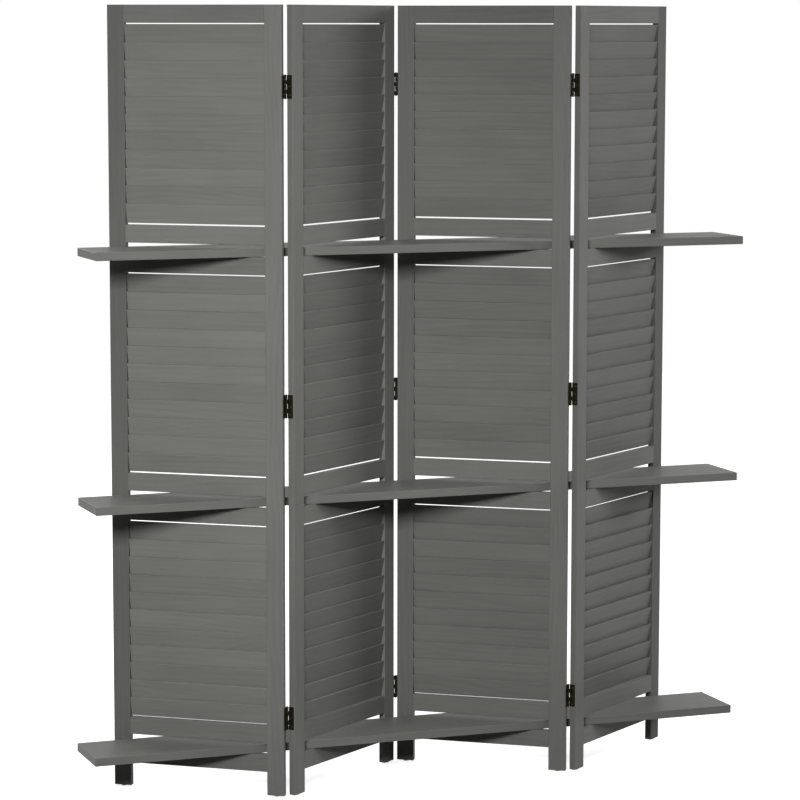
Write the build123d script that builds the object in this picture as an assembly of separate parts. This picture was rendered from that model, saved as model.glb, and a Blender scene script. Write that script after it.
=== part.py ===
from build123d import *
from math import asin, atan2, ceil, cos, degrees, hypot, sin
import os

# A free-standing folding screen: four louvred panels hinged in a zigzag row, with three loose
# shelf boards laid through slots in the panels. All lengths are millimetres.
# The origin is on the floor under the middle of the row. +X runs along the row to the right,
# +Y points to the back and +Z is up. Panels are numbered from the left, joints 12, 23 and 34.

# Panel frame
panel_count = 4
panel_height = 1700.0
panel_width = 391.0
frame_thickness = 15.0
member_width = 38.5
arris_radius = 2.0
inner_arris_radius = 0.9
bottom_rail_height = 54.0

# Tenons and housings inside the stiles
tenon_length = 12.0
tenon_thickness = 5.0
tenon_shoulder = 6.0
housing_depth = 4.0
joint_clearance = 0.1

# Louvre slats
slat_width = 42.0
slat_thickness = 4.5
slat_rounding = 0.8
slat_setback = 1.1
slat_top_gap = 2.4
slat_bottom_gaps = {"upper": 3.2, "middle": 3.0, "lower": 1.4}
slat_least_lap = 1.5

# Shelf boards, with the place of each along and across the row
shelf_length = 1500.0
shelf_width = 152.5
shelf_thickness = 18.0
shelf_rounding = 1.2
shelf_spacing = 538.0
shelf_headroom = 7.2
shelf_rest_gap = 0.2
shelf_side_gap = 10.9
shelf_shifts = {"upper": (12.0, -7.0), "middle": (9.0, 0.0), "lower": (0.0, -3.5)}

# Floor glides
glide_height = 3.0
glide_diameter = 10.5
glide_rounding = 1.6
glide_nail_diameter = 2.0
glide_nail_length = 14.0

# Butt hinges
hinge_height = 50.0
hinge_end_distance = 172.0
leaf_thickness = 1.2
leaf_edge_inset = 1.5
leaf_corner_radius = 1.5
knuckle_diameter = 4.8
knuckle_count = 5
knuckle_end_gap = 0.3
knuckle_side_gap = 0.3
pin_diameter = 2.4
pin_head_diameter = 3.9
pin_head_height = 0.9
pin_seat_clearance = 0.02
pin_running_clearance = 0.05

# Hinge screws
screw_diameter = 2.4
screw_head_diameter = 5.0
screw_length = 14.0
screw_point_length = 3.0
screw_point_radius = 0.1
screw_end_inset = 6.5
screw_clearance = 0.02
recess_width = 0.7
recess_span = 2.8
recess_depth = 0.6

# Sizes that follow from the ones above
clear_width = panel_width - 2 * member_width
tiers = list(shelf_shifts)
lowest_shelf_top = bottom_rail_height + member_width + shelf_rest_gap + shelf_thickness
shelf_tops = {tier: lowest_shelf_top + shelf_spacing * i for i, tier in enumerate(reversed(tiers))}
slat_depth = frame_thickness - 2 * slat_setback
slat_tilt = asin(slat_depth / hypot(slat_width, slat_thickness)) - atan2(slat_thickness, slat_width)
slat_rise = slat_width * cos(slat_tilt) + slat_thickness * sin(slat_tilt)
knuckle_radius = knuckle_diameter / 2
knuckle_pitch = (hinge_height + knuckle_end_gap) / knuckle_count
knuckle_height = knuckle_pitch - knuckle_end_gap
pin_offset = frame_thickness / 2 + knuckle_radius
pin_reach = panel_width / 2 + knuckle_radius
stile_middle = (panel_width - member_width) / 2
hinge_heights = [hinge_end_distance, panel_height / 2, panel_height - hinge_end_distance]
screw_spread = hinge_height / 2 - screw_end_inset
leaf_screw_heights = [-screw_spread, 0, screw_spread]
screw_heights = [middle + step for middle in hinge_heights for step in leaf_screw_heights]

# The screen is folded just far enough for a shelf board to pass between the stiles
# with shelf_side_gap on each side, which gives the angle of each panel to the row.
half_passage = shelf_width / 2 + shelf_side_gap
fold = asin(half_passage / hypot(clear_width / 2, frame_thickness / 2))
fold += atan2(frame_thickness, clear_width)
panel_pitch = 2 * (pin_reach * cos(fold) + pin_offset * sin(fold))


def placed(shape, panel):
    """A shape from a panel's own frame, moved to where that panel stands in the row."""
    x = (panel - (panel_count - 1) / 2) * panel_pitch
    turn = degrees(fold) * (1 if panel % 2 else -1)
    return Pos(x, 0, 0) * Rot(0, 0, turn) * shape


def group(solids):
    """Separate solids that share one node."""
    return Compound(children=list(solids))


def rail_fields():
    """The low and high edge of every rail, by the node that it belongs to."""
    fields = {"top_rail": [(panel_height - member_width, panel_height)]}
    for tier in tiers:
        slot_top = shelf_tops[tier] + shelf_headroom
        slot_bottom = shelf_tops[tier] - shelf_thickness - shelf_rest_gap
        fields[tier + "_rails"] = [
            (slot_bottom - member_width, slot_bottom),
            (slot_top, slot_top + member_width),
        ]
    return fields


def slat_fields():
    """The height of every slat's middle, by the field of louvres that it belongs to."""
    rails = rail_fields()
    ceiling = rails["top_rail"][0][0]
    fields = {}
    for tier in tiers:
        floor = rails[tier + "_rails"][1][1]
        lowest = floor + slat_bottom_gaps[tier] + slat_rise / 2
        highest = ceiling - slat_top_gap - slat_rise / 2
        steps = ceil((highest - lowest) / (slat_rise - slat_least_lap))
        pitch = (highest - lowest) / steps
        fields[tier + "_slats"] = [lowest + pitch * i for i in range(steps + 1)]
        ceiling = rails[tier + "_rails"][0][0]
    return fields


def slat(height, length, margin=0.0):
    """One slat with its top edge to the front, or with a margin the space that it needs."""
    profile = RectangleRounded(slat_thickness + 2 * margin, slat_width + 2 * margin, slat_rounding)
    section = Plane.YZ * Pos(0, height) * Rot(0, 0, degrees(slat_tilt)) * profile
    return extrude(section, length / 2, both=True)


def tenons(low, high, length, margin=0.0):
    """The tenons of one rail as a bar from end to end, or the mortises that they need."""
    tall = high - low - 2 * tenon_shoulder + 2 * margin
    return Pos(0, 0, (low + high) / 2) * Box(length, tenon_thickness + 2 * margin, tall)


def rail(low, high):
    """One rail between the stiles, with a stub tenon at each end."""
    bar = Box(clear_width, frame_thickness, high - low)
    bar = fillet(bar.edges().filter_by(Axis.X), inner_arris_radius)
    return Pos(0, 0, (low + high) / 2) * bar + tenons(low, high, clear_width + 2 * tenon_length)


def stile_sockets():
    """Everything that is cut into the inner edges of a panel's two stiles."""
    mortise_reach = clear_width + 2 * (tenon_length + joint_clearance)
    housing_reach = clear_width + 2 * (housing_depth + joint_clearance)
    sockets = []
    for edges in rail_fields().values():
        sockets += [tenons(low, high, mortise_reach, joint_clearance) for low, high in edges]
    for heights in slat_fields().values():
        sockets += [slat(height, housing_reach, joint_clearance) for height in heights]
    return sockets


def plain_stile():
    """The right-hand stile of a panel, before its hinge screws are driven."""
    length = panel_height - glide_height
    bar = Box(member_width, frame_thickness, length)
    bar = fillet(bar.edges().filter_by(Axis.Z).group_by(Axis.X)[-1], arris_radius)
    bar = fillet(bar.edges().filter_by(Axis.Z).group_by(Axis.X)[0], inner_arris_radius)
    nail_hole = Cylinder(glide_nail_diameter / 2 + joint_clearance, glide_nail_length)
    nail_hole = Pos(stile_middle, 0, glide_height + glide_nail_length / 2) * nail_hole
    return Pos(stile_middle, 0, glide_height + length / 2) * bar - (stile_sockets() + [nail_hole])


def slat_field(heights):
    """All the slats of one field."""
    length = clear_width + 2 * housing_depth
    return group(slat(height, length) for height in heights)


def glide(end):
    """A floor glide: a flat-bottomed disc with the nail that holds it under the stile."""
    disc = Pos(0, 0, glide_height / 2) * Cylinder(glide_diameter / 2, glide_height)
    disc = fillet(disc.edges().sort_by(Axis.Z)[0], glide_rounding)
    nail = Cylinder(glide_nail_diameter / 2, glide_nail_length)
    nail = Pos(0, 0, glide_height + glide_nail_length / 2 - joint_clearance) * nail
    return Pos(end * stile_middle, 0, 0) * (disc + nail)


def screw(end, margin=0.0):
    """A countersunk screw through a leaf into the end of a panel, or the hole that it needs."""
    shank_length = screw_length - leaf_thickness - screw_point_length
    shank_radius = screw_diameter / 2 + margin
    head = Cone(shank_radius, screw_head_diameter / 2 + margin, leaf_thickness)
    point = Cone(screw_point_radius + margin, shank_radius, screw_point_length)
    whole = Pos(0, 0, leaf_thickness / 2) * head
    whole += Pos(0, 0, -shank_length / 2) * Cylinder(shank_radius, shank_length)
    whole += Pos(0, 0, -shank_length - screw_point_length / 2) * point
    if not margin:
        slot = Pos(0, 0, leaf_thickness) * Box(recess_span, recess_width, 2 * recess_depth)
        whole -= [slot, Rot(0, 0, 90) * slot]
    return Pos(end * panel_width / 2, 0, 0) * Rot(0, 90 * end, 0) * whole


def at_heights(shape, heights):
    """A copy of a shape at each height."""
    return [Pos(0, 0, height) * shape for height in heights]


def leaf(end, side, rows, clearance):
    """One hinge leaf on the end of a panel, with knuckles in the given rows.

    side is +1 where the pin stands behind the back face and -1 before the front face.
    """
    plate_start = -frame_thickness / 2 + leaf_edge_inset
    plate_stop = pin_offset - knuckle_radius - knuckle_side_gap
    plate = Box(leaf_thickness, plate_stop - plate_start, hinge_height)
    corners = plate.edges().filter_by(Axis.X).group_by(Axis.Y)[0 if side > 0 else -1]
    plate = fillet(corners, leaf_corner_radius)
    plate_x = end * (panel_width + leaf_thickness) / 2
    tongue = Box(leaf_thickness, pin_offset - plate_stop, knuckle_height)
    tongue = Pos(plate_x, side * (pin_offset + plate_stop) / 2, 0) * tongue
    barrel = Pos(end * pin_reach, side * pin_offset, 0)
    knuckle = tongue + barrel * Cylinder(knuckle_radius, knuckle_height)
    knuckle -= barrel * Cylinder(pin_diameter / 2 + clearance, knuckle_height)
    row_heights = [knuckle_pitch * (row - (knuckle_count - 1) / 2) for row in rows]
    shape = Pos(plate_x, side * (plate_start + plate_stop) / 2, 0) * plate
    shape += at_heights(knuckle, row_heights)
    return shape - at_heights(screw(end, screw_clearance), leaf_screw_heights)


def hinge_pin(end, side):
    """A hinge pin with a domed head at each end."""
    head = Pos(0, 0, (hinge_height + pin_head_height) / 2)
    head *= Cylinder(pin_head_diameter / 2, pin_head_height)
    head = fillet(head.edges().sort_by(Axis.Z)[-1], pin_head_height / 2)
    whole = Cylinder(pin_diameter / 2, hinge_height) + head + Rot(180, 0, 0) * head
    return Pos(end * pin_reach, side * pin_offset, 0) * whole


def shelf(tier):
    """One shelf board, where it lies in its slots."""
    board = Box(shelf_length, shelf_width, shelf_thickness)
    board = fillet(board.edges(), shelf_rounding)
    along, across = shelf_shifts[tier]
    return Pos(along, across, shelf_tops[tier] - shelf_thickness / 2) * board


def shared_woodwork():
    """The nodes that every panel has alike, in a panel's own frame."""
    nodes = {"glides": group(glide(end) for end in (-1, 1))}
    for name, edges in rail_fields().items():
        nodes[name] = group(rail(low, high) for low, high in edges)
    for name, heights in slat_fields().items():
        nodes[name] = slat_field(heights)
    return nodes


def stiles():
    """The stiles by end and by whether they carry hinges, in a panel's own frame."""
    plain = plain_stile()
    drilled = plain - at_heights(screw(1, screw_clearance), screw_heights)
    right = {True: drilled, False: plain}
    left = {hinged: shape.mirror(Plane.YZ) for hinged, shape in right.items()}
    return {-1: left, 1: right}


def hinge_nodes(side):
    """The nodes of three hinges with their pins on one side, and the end that each rides on."""
    outer_rows = range(0, knuckle_count, 2)
    inner_rows = range(1, knuckle_count, 2)
    left_leaf = leaf(1, side, outer_rows, pin_seat_clearance)
    right_leaf = leaf(-1, side, inner_rows, pin_running_clearance)
    return {
        "left_leaves": (1, group(at_heights(left_leaf, hinge_heights))),
        "right_leaves": (-1, group(at_heights(right_leaf, hinge_heights))),
        "pins": (1, group(at_heights(hinge_pin(1, side), hinge_heights))),
        "left_screws": (1, group(at_heights(screw(1), screw_heights))),
        "right_screws": (-1, group(at_heights(screw(-1), screw_heights))),
    }


def write(name, shape):
    """Save one node."""
    shape.label = name
    export_step(shape, f"parts/{name}.step")


os.makedirs("parts", exist_ok=True)
woodwork = shared_woodwork()
stile_kinds = stiles()
hinge_kinds = {side: hinge_nodes(side) for side in (-1, 1)}
for panel in range(panel_count):
    nodes = dict(woodwork)
    nodes["left_stile"] = stile_kinds[-1][panel > 0]
    nodes["right_stile"] = stile_kinds[1][panel < panel_count - 1]
    for name, shape in nodes.items():
        write(f"panel_{panel + 1}_{name}", placed(shape, panel))
for joint in range(panel_count - 1):
    for name, (end, shape) in hinge_kinds[-1 if joint % 2 else 1].items():
        panel = joint if end > 0 else joint + 1
        write(f"hinge_{joint + 1}{joint + 2}_{name}", placed(shape, panel))
for tier in tiers:
    write(f"{tier}_shelf", shelf(tier))
print(f"fold {degrees(fold):.3f} degrees, panel pitch {panel_pitch:.3f} mm")
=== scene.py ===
import bpy
from math import atan2, cos, radians, sin, tan
from mathutils import Matrix, Vector


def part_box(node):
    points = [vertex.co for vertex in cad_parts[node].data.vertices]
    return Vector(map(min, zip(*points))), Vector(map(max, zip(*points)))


# A grey-stained louvred folding screen with three shelf boards, on a white studio floor.
# Every length is in metres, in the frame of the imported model.

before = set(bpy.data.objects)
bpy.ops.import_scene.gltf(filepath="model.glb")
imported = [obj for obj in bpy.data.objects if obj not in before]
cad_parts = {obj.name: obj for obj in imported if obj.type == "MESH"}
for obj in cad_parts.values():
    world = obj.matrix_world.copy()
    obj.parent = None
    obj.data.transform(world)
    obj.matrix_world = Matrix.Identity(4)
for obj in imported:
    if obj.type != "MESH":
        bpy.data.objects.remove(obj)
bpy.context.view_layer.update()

panel_numbers = (1, 2, 3, 4)
tiers = ("upper", "middle", "lower")
joints = ("12", "23", "34")

# Camera, at the photograph's viewpoint
camera_place = Vector((-2.37048, -6.27824, 1.66023))
camera_yaw = 0.35672
camera_pitch = -0.1220
camera_roll = 0.00113
camera_lens = 138.099
sensor_width = 36.0

# Lights: a bearing of 0 is straight in front of the row, and more is further to the right
key_light = {
    "power": 27,
    "bearing": radians(-31),
    "distance": 5.2,
    "height": 2.6,
    "size": (1.3, 1.0),
    "spread": radians(54),
    "target": (-0.38, 0, 0.85),
}
side_light = {
    "power": 17,
    "bearing": radians(74),
    "distance": 4.2,
    "height": 1.9,
    "size": (1.0, 0.8),
    "spread": radians(80),
    "target": (0, 0, 1.0),
}
back_light = {
    "power": 60,
    "bearing": radians(200),
    "distance": 4.8,
    "height": 2.4,
    "size": (1.6, 1.2),
    "spread": radians(180),
    "target": (0, 0, 0.85),
}
sky_top = 0.95
sky_side = 0.0
floor_span = 14.0
floor_bounce = 0.03
floor_glow = 0.78

# Wood
slat_count = 11
slat_rise = 0.04205
slat_lean = radians(11.52)
stain_dark = (0.088, 0.089, 0.083, 1)
stain_light = (0.178, 0.178, 0.168, 1)
bare_wood = (0.29, 0.275, 0.245, 1)
stain_gloss = 0.13
ring_spacing = 0.013
upright_grain, level_grain, board_grain = "ZXY", "XZY", "XYZ"
arris_wear = 0.0016
# Painted light and shade: single members painted darker where less light reaches them and lighter
# where more does, as a factor on the stain
painted_light_and_shade = {
    "panel_1_left_stile": 0.76,
    "panel_1_right_stile": 1.10,
    "panel_2_right_stile": 1.12,
    "panel_3_left_stile": 0.78,
    "panel_3_top_rail": 0.78,
    "panel_4_right_stile": 0.60,
}
# How much lighter or darker than the rest each panel's slats are: partly their own tone, partly
# painted light and shade
slat_tone_and_painted_light = {1: 1.20, 2: 1.06, 3: 1.04, 4: 0.96}

# Hinges
lacquer = (0.009, 0.008, 0.005, 1)
rubbed_brass = (0.30, 0.23, 0.09, 1)
lacquer_gloss = 0.06


class Shader:
    """A short way to write a node tree."""

    def __init__(self, tree):
        self.tree = tree

    def feed(self, socket, value):
        if isinstance(value, bpy.types.NodeSocket):
            self.tree.links.new(value, socket)
        else:
            socket.default_value = value

    def add(self, kind, sockets=None, **settings):
        node = self.tree.nodes.new("ShaderNode" + kind)
        for name, value in settings.items():
            setattr(node, name, value)
        for name, value in (sockets or {}).items():
            self.feed(node.inputs[name], value)
        return node

    def math(self, operation, *values, clamp=False):
        node = self.add("Math", operation=operation, use_clamp=clamp)
        for socket, value in zip(node.inputs, values):
            self.feed(socket, value)
        return node.outputs[0]

    def ramp(self, value, low, high, start=0.0, end=1.0):
        """A smooth step from start to end while value goes from low to high."""
        node = self.add("MapRange", interpolation_type="SMOOTHSTEP")
        for socket, number in zip(node.inputs, (value, low, high, start, end)):
            self.feed(socket, number)
        return node.outputs[0]

    def mix(self, factor, first, second, blend="MIX"):
        node = self.add("MixRGB", blend_type=blend)
        for socket, value in zip(node.inputs, (factor, first, second)):
            self.feed(socket, value)
        return node.outputs[0]

    def noise(self, point, scales, detail=2.0, roughness=0.5):
        """Noise with its own number of grains in a metre along each axis."""
        stretched = self.add("VectorMath", {0: point, 1: scales}, operation="MULTIPLY")
        values = {"Vector": stretched.outputs[0], "Scale": 1.0}
        values |= {"Detail": detail, "Roughness": roughness}
        return self.add("TexNoise", values).outputs["Fac"]

    def vector(self, x, y, z):
        return self.add("CombineXYZ", {0: x, 1: y, 2: z}).outputs[0]


def new_material(name):
    """A material with an empty tree and its output node."""
    material = bpy.data.materials.new(name)
    material.use_nodes = True
    material.node_tree.nodes.clear()
    shader = Shader(material.node_tree)
    output = shader.add("OutputMaterial")
    return material, shader, output


def new_group(name, inputs, outputs):
    """A node group with the named sockets, and its shader writer, input and output nodes."""
    tree = bpy.data.node_groups.new(name, "ShaderNodeTree")
    for socket, kind in inputs.items():
        tree.interface.new_socket(name=socket, in_out="INPUT", socket_type=kind)
    for socket, kind in outputs.items():
        tree.interface.new_socket(name=socket, in_out="OUTPUT", socket_type=kind)
    return tree, Shader(tree), tree.nodes.new("NodeGroupInput"), tree.nodes.new("NodeGroupOutput")


def seen_directly(shader):
    """1 for rays from the camera, mirrors and glass, 0 for the light that falls on things."""
    path = shader.add("LightPath").outputs
    seen = shader.math("MAXIMUM", path["Is Camera Ray"], path["Is Glossy Ray"])
    return shader.math("MAXIMUM", seen, path["Is Transmission Ray"])


def edge_mask(shader, radius):
    """Near 1 on the sharp and rounded edges of a piece, 0 on its flat faces."""
    rounded = shader.add("Bevel", {"Radius": radius}, samples=4).outputs[0]
    flat = shader.add("NewGeometry").outputs["True Normal"]
    facing = shader.add("VectorMath", {0: rounded, 1: flat}, operation="DOT_PRODUCT")
    return shader.ramp(facing.outputs["Value"], 0.99, 0.80)


def grain_group():
    """Stained wood: X runs along the grain, Y across the face, and each seed is another board."""
    tree, shader, given, out = new_group(
        "stained_wood",
        {"Point": "NodeSocketVector", "Seed": "NodeSocketFloat"},
        {"Colour": "NodeSocketColor", "Roughness": "NodeSocketFloat", "Height": "NodeSocketFloat"},
    )
    point, seed = given.outputs["Point"], given.outputs["Seed"]
    chance = shader.add("TexWhiteNoise", {"W": seed}, noise_dimensions="1D")
    luck = shader.add("SeparateColor", {0: chance.outputs["Color"]}).outputs
    shift = shader.add("VectorMath", {0: chance.outputs["Color"], "Scale": 37.0}, operation="SCALE")
    moved = shader.add("VectorMath", {0: point, 1: shift.outputs[0]}, operation="ADD").outputs[0]
    axes = shader.add("SeparateXYZ", {0: point}).outputs

    # Growth rings round a heart that lies beside the board and wanders along it
    wander = shader.noise(moved, (1.6, 2.5, 2.5), 1.0)
    ripple = shader.noise(moved, (7.0, 26.0, 26.0), 2.0)
    heart_y = shader.math("MULTIPLY_ADD", luck[0], 0.09, -0.125)
    heart_y = shader.math("MULTIPLY_ADD", wander, 0.16, heart_y)
    heart_z = shader.math("MULTIPLY_ADD", luck[1], 0.045, 0.012)
    off_y = shader.math("SUBTRACT", axes[1], heart_y)
    off_z = shader.math("SUBTRACT", axes[2], heart_z)
    square = shader.math("ADD", shader.math("POWER", off_y, 2.0), shader.math("POWER", off_z, 2.0))
    distance = shader.math("MULTIPLY_ADD", ripple, 0.007, shader.math("SQRT", square))
    turn = shader.math("FRACT", shader.math("DIVIDE", distance, ring_spacing))
    late = shader.math("MULTIPLY", shader.ramp(turn, 0.25, 0.86), shader.ramp(turn, 1.0, 0.90))
    figure = shader.ramp(shader.noise(moved, (3.2, 22.0, 22.0), 1.0), 0.40, 0.66, 0.15, 1.0)
    late = shader.math("MULTIPLY", late, figure)

    # Fibres, pores, streaks of stain and cloudy patches
    fibre = shader.noise(moved, (16.0, 900.0, 900.0), 2.0, 0.6)
    streak = shader.noise(moved, (4.0, 130.0, 130.0), 2.0, 0.55)
    pores = shader.ramp(shader.noise(moved, (42.0, 1500.0, 1500.0), 1.0), 0.60, 0.72)
    cloud = shader.noise(moved, (5.0, 9.0, 9.0), 2.0)

    tone = shader.math("MULTIPLY_ADD", fibre, 0.26, shader.math("MULTIPLY", streak, 0.28))
    tone = shader.math("MULTIPLY_ADD", cloud, 0.40, tone)
    tone = shader.math("MULTIPLY_ADD", luck[2], 0.20, tone)
    tone = shader.math("MULTIPLY_ADD", late, -0.09, tone)
    tone = shader.math("MULTIPLY_ADD", pores, -0.10, tone, clamp=True)
    colour = shader.mix(tone, stain_dark, stain_light)

    rough = shader.math("MULTIPLY_ADD", fibre, 0.16, 0.40)
    rough = shader.math("MULTIPLY_ADD", pores, 0.12, rough)
    height = shader.math("MULTIPLY_ADD", late, -0.30, shader.math("MULTIPLY", fibre, 0.55))
    height = shader.math("MULTIPLY_ADD", pores, -0.5, height)
    shader.feed(out.inputs["Colour"], colour)
    shader.feed(out.inputs["Roughness"], rough)
    shader.feed(out.inputs["Height"], height)
    return tree


def wood_material(name, grain, place, turn, lie, seed, tone_and_painted_light=1.0):
    """Wood in a member's own frame.

    lie names the local axes along the grain, across the face and through the thickness. seed is
    a number, or a function of the shader and the local axes that gives one. The last argument
    multiplies the wood colour: below 1 it paints shade, above 1 it paints light, and for slats it
    also carries their own tone.
    """
    material, shader, output = new_material(name)
    point = shader.add("TexCoord").outputs["Object"]
    settle = {"Location": Matrix.Rotation(-turn, 3, "Z") @ -place, "Rotation": (0, 0, -turn)}
    local = shader.add("Mapping", {"Vector": point, **settle}).outputs[0]
    axes = shader.add("SeparateXYZ", {0: local}).outputs
    member = shader.vector(*(axes["XYZ".index(letter)] for letter in lie))
    wood = shader.add("Group", node_tree=grain)
    shader.feed(wood.inputs["Point"], member)
    shader.feed(wood.inputs["Seed"], seed(shader, axes) if callable(seed) else seed)

    edge = edge_mask(shader, arris_wear)
    patch = shader.ramp(shader.noise(local, (60.0, 60.0, 60.0), 3.0), 0.42, 0.62)
    wear = shader.math("MULTIPLY", shader.math("MULTIPLY", edge, patch), 0.40)
    # Painted light and shade: the wood colour times the member's factor, which for slats also holds
    # their own tone
    stain_and_painted_light = shader.mix(1.0, wood.outputs["Colour"], (tone_and_painted_light, tone_and_painted_light, tone_and_painted_light, 1), "MULTIPLY")
    colour = shader.mix(wear, stain_and_painted_light, bare_wood)
    relief = {"Height": wood.outputs["Height"], "Strength": 0.55, "Distance": 0.00025}
    bump = shader.add("Bump", relief)
    rough = wood.outputs["Roughness"]
    skin = shader.add("BsdfPrincipled", {"Base Color": colour, "Roughness": rough})
    skin.inputs["Specular IOR Level"].default_value = stain_gloss
    shader.feed(skin.inputs["Normal"], bump.outputs[0])
    shader.feed(output.inputs["Surface"], skin.outputs[0])
    return material


def metal_material(name, wear_radius, wear_share, roughness):
    """Thin lacquer that has rubbed through to the metal along its edges."""
    material, shader, output = new_material(name)
    point = shader.add("TexCoord").outputs["Object"]
    blotch = shader.noise(point, (240.0, 240.0, 240.0), 3.0, 0.6)
    scuff = shader.noise(point, (1400.0, 1400.0, 180.0), 2.0)
    edge = edge_mask(shader, wear_radius)
    wear = shader.math("MULTIPLY", edge, shader.ramp(blotch, 0.62 - 0.3 * wear_share, 0.66))
    flecks = shader.math("MULTIPLY", shader.ramp(blotch, 0.66, 0.76), wear_share)
    wear = shader.math("MAXIMUM", wear, flecks)
    colour = shader.mix(wear, lacquer, rubbed_brass)
    rough = shader.math("MULTIPLY_ADD", scuff, 0.22, roughness)
    bump = shader.add("Bump", {"Height": scuff, "Strength": 0.25, "Distance": 0.00006})
    surface = {"Base Color": colour, "Roughness": rough, "Metallic": wear}
    skin = shader.add("BsdfPrincipled", surface)
    skin.inputs["Specular IOR Level"].default_value = lacquer_gloss
    shader.feed(skin.inputs["Normal"], bump.outputs[0])
    shader.feed(output.inputs["Surface"], skin.outputs[0])
    return material


def plastic_material(name):
    """Pale moulded nylon, scuffed underneath."""
    material, shader, output = new_material(name)
    point = shader.add("TexCoord").outputs["Object"]
    speck = shader.noise(point, (700.0, 700.0, 700.0), 3.0)
    low = shader.ramp(shader.add("SeparateXYZ", {0: point}).outputs[2], 0.0012, 0.0)
    grime = shader.math("MULTIPLY", low, shader.ramp(speck, 0.35, 0.65))
    colour = shader.mix(grime, (0.62, 0.61, 0.57, 1), (0.34, 0.33, 0.30, 1))
    rough = shader.math("MULTIPLY_ADD", speck, 0.25, 0.38)
    bump = shader.add("Bump", {"Height": speck, "Strength": 0.2, "Distance": 0.00005})
    skin = shader.add("BsdfPrincipled", {"Base Color": colour, "Roughness": rough})
    skin.inputs["Subsurface Weight"].default_value = 0.1
    skin.inputs["Subsurface Scale"].default_value = 0.001
    shader.feed(skin.inputs["Normal"], bump.outputs[0])
    shader.feed(output.inputs["Surface"], skin.outputs[0])
    return material


def dress(node, material):
    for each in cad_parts[node].material_slots:
        each.material = material


def middle_of(node):
    low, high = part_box(node)
    return (low + high) / 2


def panel_frame(panel):
    """The middle of a panel at floor level, and its turn about the upright."""
    left = middle_of(f"panel_{panel}_left_stile")
    right = middle_of(f"panel_{panel}_right_stile")
    across = right - left
    place = (left + right) / 2
    return Vector((place.x, place.y, 0)), atan2(across.y, across.x)


def slat_seed(node, first_seed):
    """Another seed for each slat of a louvre field, by where its leaning plane meets the middle."""
    low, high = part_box(node)
    lowest = low.z + slat_rise / 2
    pitch = (high.z - low.z - slat_rise) / (slat_count - 1)

    def seed(shader, axes):
        height = shader.math("MULTIPLY_ADD", axes[1], 1 / tan(slat_lean), axes[2])
        steps = shader.math("DIVIDE", shader.math("SUBTRACT", height, lowest), pitch)
        index = shader.math("ROUND", steps)
        return shader.math("ADD", index, first_seed)

    return seed


def rail_seed(node, first_seed):
    """One seed for the lower rail of a pair and another for the upper one."""
    middle = middle_of(node).z

    def seed(shader, axes):
        upper = shader.math("GREATER_THAN", axes[2], middle)
        return shader.math("ADD", upper, first_seed)

    return seed


def dress_panels(grain, glide):
    for panel in panel_numbers:
        place, turn = panel_frame(panel)
        own = f"panel_{panel}_"
        seed = 100.0 * panel
        for step, side in enumerate(("left", "right")):
            node = own + side + "_stile"
            # Painted light and shade: some stiles are painted darker or lighter than the rest
            tone_and_painted_light = painted_light_and_shade.get(node, 1.0)
            dress(node, wood_material(node, grain, place, turn, upright_grain, seed + step, tone_and_painted_light))
        node = own + "top_rail"
        # Painted light and shade: a top rail can be painted darker or lighter too
        tone_and_painted_light = painted_light_and_shade.get(node, 1.0)
        dress(node, wood_material(node, grain, place, turn, level_grain, seed + 5, tone_and_painted_light))
        for step, tier in enumerate(tiers):
            rails, slats = own + tier + "_rails", own + tier + "_slats"
            start = seed + 20 * (step + 1)
            seeds = rail_seed(rails, start)
            dress(rails, wood_material(rails, grain, place, turn, level_grain, seeds))
            seeds = slat_seed(slats, start + 4)
            # Each panel's slats: partly their own tone, partly painted light and shade
            tone_and_painted_light = slat_tone_and_painted_light[panel]
            dress(slats, wood_material(slats, grain, place, turn, level_grain, seeds, tone_and_painted_light))
        dress(own + "glides", glide)


def dress_boards(grain):
    for step, tier in enumerate(tiers):
        node = tier + "_shelf"
        dress(node, wood_material(node, grain, middle_of(node), 0.0, board_grain, 900.0 + step))


def dress_hinges():
    leaf = metal_material("black_lacquer_hinge", 0.0007, 0.55, 0.36)
    pin = metal_material("hinge_pin", 0.0006, 0.8, 0.26)
    screw = metal_material("hinge_screw", 0.0005, 0.6, 0.28)
    for joint in joints:
        own = f"hinge_{joint}_"
        dress(own + "left_leaves", leaf)
        dress(own + "right_leaves", leaf)
        dress(own + "pins", pin)
        dress(own + "left_screws", screw)
        dress(own + "right_screws", screw)


def add_floor():
    """A white floor: as bright as the page to the camera, apart from the object's soft shadow."""
    mesh = bpy.data.meshes.new("studio_floor")
    half = floor_span / 2
    corners = [(-half, -half, 0), (half, -half, 0), (half, half, 0), (-half, half, 0)]
    mesh.from_pydata(corners, [], [(0, 1, 2, 3)])
    floor = bpy.data.objects.new("studio_floor", mesh)
    bpy.context.scene.collection.objects.link(floor)
    material, shader, output = new_material("studio_floor")
    seen = seen_directly(shader)
    speck = shader.noise(shader.add("TexCoord").outputs["Object"], (3.0, 3.0, 3.0))
    pale = shader.mix(speck, (0.80, 0.80, 0.80, 1), (0.86, 0.86, 0.86, 1))
    lit = shader.add("BsdfDiffuse", {"Color": pale})
    glow = shader.add("Emission", {"Color": (1, 1, 1, 1), "Strength": floor_glow})
    white = shader.add("AddShader", {0: lit.outputs[0], 1: glow.outputs[0]})
    dim = shader.add("BsdfDiffuse", {"Color": (floor_bounce, floor_bounce, floor_bounce, 1)})
    both = shader.add("MixShader", {0: seen, 1: dim.outputs[0], 2: white.outputs[0]})
    shader.feed(output.inputs["Surface"], both.outputs[0])
    mesh.materials.append(material)


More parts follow.
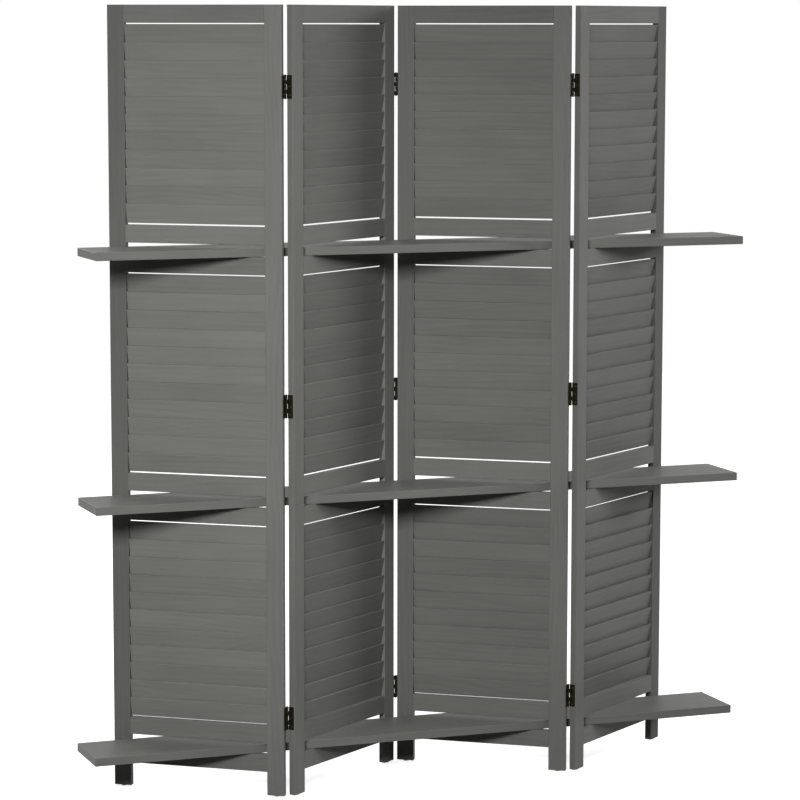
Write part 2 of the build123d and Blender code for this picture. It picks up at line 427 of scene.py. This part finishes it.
def add_world():
    """White to the camera and in reflections, and a soft light from above elsewhere."""
    world = bpy.data.worlds.new("studio")
    bpy.context.scene.world = world
    world.use_nodes = True
    world.node_tree.nodes.clear()
    shader = Shader(world.node_tree)
    seen = seen_directly(shader)
    upward = shader.add("SeparateXYZ", {0: shader.add("TexCoord").outputs["Generated"]}).outputs[2]
    sky = shader.ramp(upward, 0.50, 0.95, sky_side, sky_top)
    strength = shader.math("MAXIMUM", seen, sky)
    glow = shader.add("Background", {"Color": (1, 1, 1, 1), "Strength": strength})
    output = shader.add("OutputWorld")
    shader.feed(output.inputs["Surface"], glow.outputs[0])


def add_lamp(name, power, bearing, distance, height, size, spread, target):
    """A soft box that faces its target."""
    lamp = bpy.data.lights.new(name, "AREA")
    lamp.energy = power
    lamp.shape = "RECTANGLE"
    lamp.size, lamp.size_y = size
    lamp.spread = spread
    holder = bpy.data.objects.new(name, lamp)
    bpy.context.scene.collection.objects.link(holder)
    place = Vector((sin(bearing) * distance, -cos(bearing) * distance, height))
    holder.location = place
    holder.rotation_euler = (place - Vector(target)).to_track_quat("Z", "Y").to_euler()


def add_camera():
    ahead = Vector(
        (
            sin(camera_yaw) * cos(camera_pitch),
            cos(camera_yaw) * cos(camera_pitch),
            sin(camera_pitch),
        )
    )
    level = Vector((cos(camera_yaw), -sin(camera_yaw), 0))
    upright = level.cross(ahead)
    right = cos(camera_roll) * level + sin(camera_roll) * upright
    up = cos(camera_roll) * upright - sin(camera_roll) * level
    data = bpy.data.cameras.new("camera")
    data.sensor_width = sensor_width
    data.lens = camera_lens
    camera = bpy.data.objects.new("camera", data)
    bpy.context.scene.collection.objects.link(camera)
    turned = Matrix((right, up, -ahead)).transposed().to_4x4()
    camera.matrix_world = Matrix.Translation(camera_place) @ turned
    bpy.context.scene.camera = camera


add_camera()
add_world()
add_floor()
add_lamp("key_light", **key_light)
add_lamp("side_light", **side_light)
add_lamp("back_light", **back_light)
grain = grain_group()
dress_panels(grain, plastic_material("nylon_glide"))
dress_boards(grain)
dress_hinges()

bpy.context.scene.view_settings.view_transform = "Standard"
